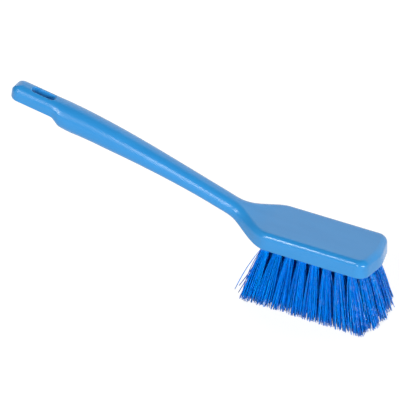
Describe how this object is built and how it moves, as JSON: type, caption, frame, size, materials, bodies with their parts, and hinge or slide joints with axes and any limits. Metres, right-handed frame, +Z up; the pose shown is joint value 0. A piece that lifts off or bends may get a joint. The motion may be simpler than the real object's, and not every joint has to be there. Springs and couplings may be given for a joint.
{
  "type": "scrub brush",
  "caption": "Long-handled scrub brush: one moulded blue body with an arched handle, hanging slot and rounded block, set with five rows of flared blue bristle tufts.",
  "frame": {"origin": "on the plane of the trimmed bristle tips, half way along the whole brush, on its plane of symmetry", "axes": "+X towards the block's rounded nose, with the handle towards -X; +Y across the brush; +Z up, from the bristle tips to the block's top"},
  "size_m": [0.4076, 0.0728, 0.1517],
  "materials": {
    "body_plastic": "satin",
    "bristle_filament": "satin",
    "anchor_steel": "satin"
  },
  "bodies": {
    "root": {"brush_body": "body_plastic", "tuft_row1_1": "bristle_filament", "tuft_row1_2": "bristle_filament", "tuft_row1_3": "bristle_filament", "tuft_row1_4": "bristle_filament", "tuft_row1_5": "bristle_filament", "tuft_row1_6": "bristle_filament", "tuft_row1_7": "bristle_filament", "tuft_row1_8": "bristle_filament", "tuft_row2_1": "bristle_filament", "tuft_row2_2": "bristle_filament", "tuft_row2_3": "bristle_filament", "tuft_row2_4": "bristle_filament", "tuft_row2_5": "bristle_filament", "tuft_row2_6": "bristle_filament", "tuft_row2_7": "bristle_filament", "tuft_row2_8": "bristle_filament", "tuft_row3_1": "bristle_filament", "tuft_row3_2": "bristle_filament", "tuft_row3_3": "bristle_filament", "tuft_row3_4": "bristle_filament", "tuft_row3_5": "bristle_filament", "tuft_row3_6": "bristle_filament", "tuft_row3_7": "bristle_filament", "tuft_row3_8": "bristle_filament", "tuft_row4_1": "bristle_filament", "tuft_row4_2": "bristle_filament", "tuft_row4_3": "bristle_filament", "tuft_row4_4": "bristle_filament", "tuft_row4_5": "bristle_filament", "tuft_row4_6": "bristle_filament", "tuft_row4_7": "bristle_filament", "tuft_row4_8": "bristle_filament", "tuft_row5_1": "bristle_filament", "tuft_row5_2": "bristle_filament", "tuft_row5_3": "bristle_filament", "tuft_row5_4": "bristle_filament", "tuft_row5_5": "bristle_filament", "tuft_row5_6": "bristle_filament", "tuft_row5_7": "bristle_filament", "tuft_row5_8": "bristle_filament", "wire_anchors": "anchor_steel"}
  },
  "joints": []
}
